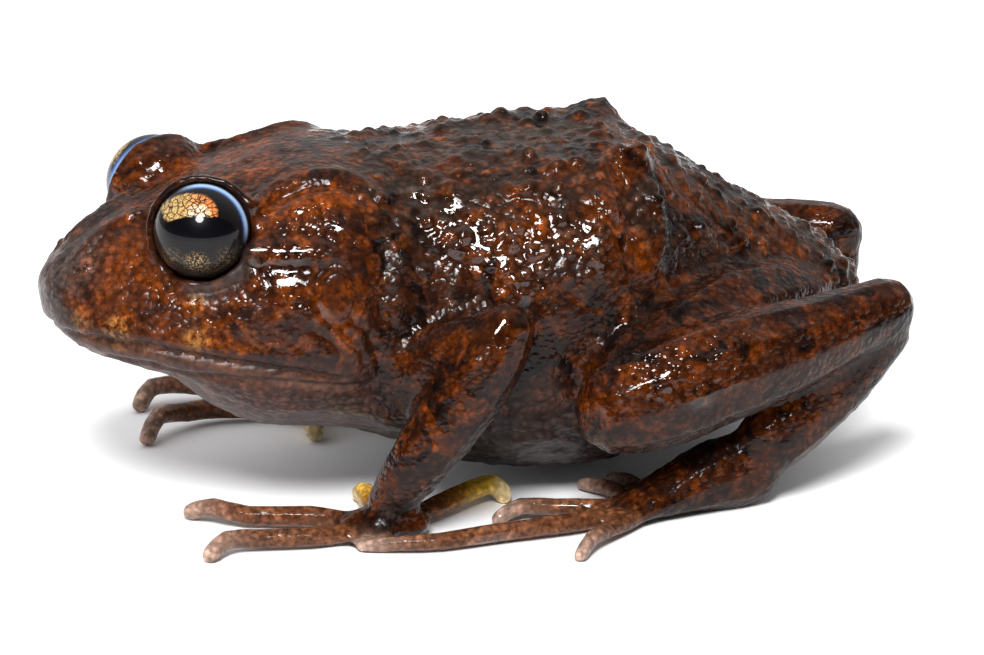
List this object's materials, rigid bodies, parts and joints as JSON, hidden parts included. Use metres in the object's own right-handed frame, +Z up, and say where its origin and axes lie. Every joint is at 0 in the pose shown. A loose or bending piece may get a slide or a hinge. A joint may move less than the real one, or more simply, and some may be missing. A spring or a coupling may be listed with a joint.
{
  "type": "frog model",
  "caption": "Still, life-size model of a big-headed wet forest frog crouched on its hands and feet, with warty reddish-brown skin, large dark gold-flecked eyes and slender digits",
  "frame": {"origin": "on the floor plane, under the centre of the frog's bounding box", "axes": "+Z up, the frog faces -X, its left side faces -Y; the body's length runs along X"},
  "size_m": [0.044, 0.0314, 0.0177],
  "materials": {
    "skin": "wet glossy warty skin, reddish brown blotched with black, grey below",
    "digit_skin": "wet smooth skin of fingers and toes, brown with pale and ochre tips",
    "eye": "clear glossy eyeball over a gold and black netted iris"
  },
  "bodies": {
    "root": {"head": "skin", "torso": "skin", "eye_left": "eye", "eye_right": "eye", "upper_arm_left": "skin", "forearm_left": "skin", "hand_left": "skin", "finger_1_left": "digit_skin", "finger_2_left": "digit_skin", "finger_3_left": "digit_skin", "finger_4_left": "digit_skin", "thigh_left": "skin", "shank_left": "skin", "tarsus_left": "skin", "foot_left": "skin", "toe_1_left": "digit_skin", "toe_2_left": "digit_skin", "toe_3_left": "digit_skin", "toe_4_left": "digit_skin", "toe_5_left": "digit_skin", "upper_arm_right": "skin", "forearm_right": "skin", "hand_right": "skin", "finger_1_right": "digit_skin", "finger_2_right": "digit_skin", "finger_3_right": "digit_skin", "finger_4_right": "digit_skin", "thigh_right": "skin", "shank_right": "skin", "tarsus_right": "skin", "foot_right": "skin", "toe_1_right": "digit_skin", "toe_2_right": "digit_skin", "toe_3_right": "digit_skin", "toe_4_right": "digit_skin", "toe_5_right": "digit_skin"}
  },
  "joints": []
}
